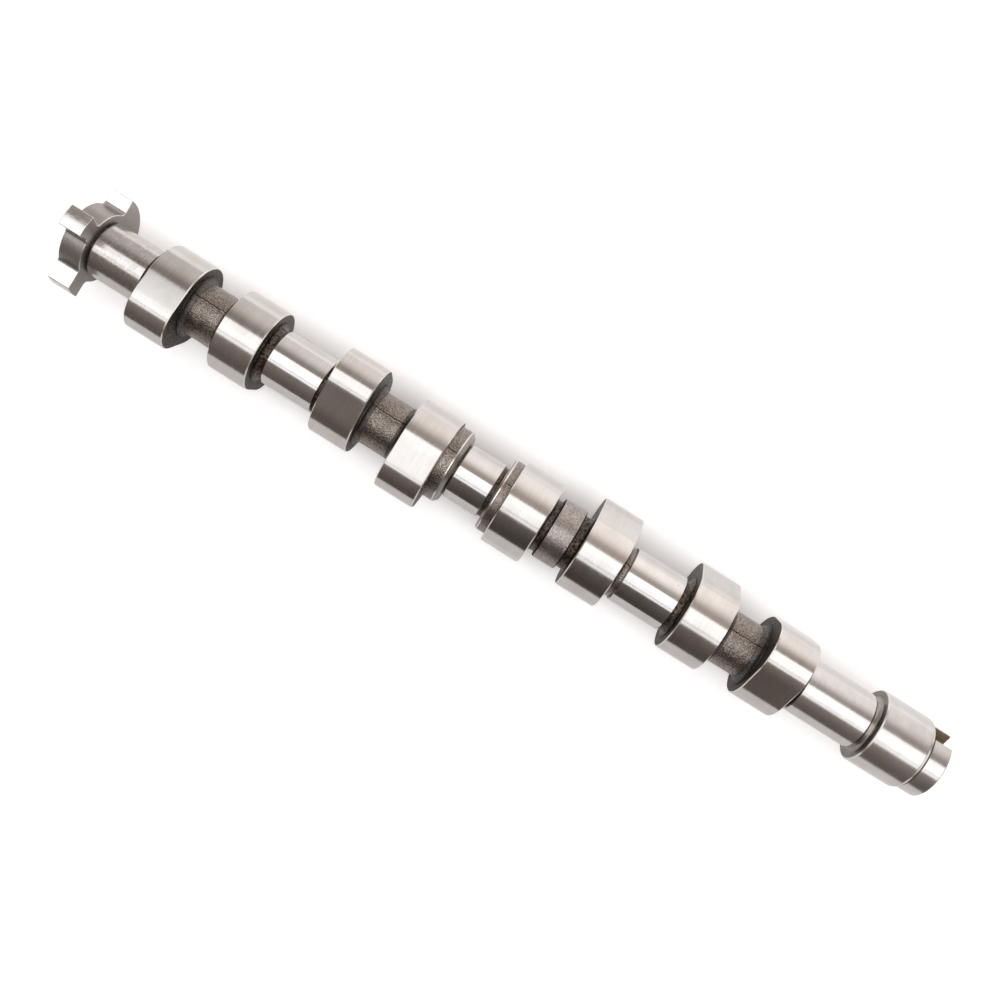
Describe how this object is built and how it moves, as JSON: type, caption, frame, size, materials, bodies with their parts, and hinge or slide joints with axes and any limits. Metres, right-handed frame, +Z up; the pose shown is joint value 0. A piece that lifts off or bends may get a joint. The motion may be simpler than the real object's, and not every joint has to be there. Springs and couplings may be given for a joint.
{
  "type": "camshaft",
  "caption": "Cast iron overhead camshaft with ground journals and cam lobes in pairs, a lugged trigger wheel at one end and a slotted drive nose at the other.",
  "frame": {"origin": "on the shaft's axis, at the middle of the centre journal", "axes": "+X along the shaft's axis, from the trigger wheel to the slotted drive nose; +Z up, as the shaft lies at rest"},
  "size_m": [0.4295, 0.0484, 0.0484],
  "materials": {
    "camshaft_iron": "ground bright on journals and lobes, as cast between them"
  },
  "bodies": {
    "root": {"camshaft": "camshaft_iron"}
  },
  "joints": []
}
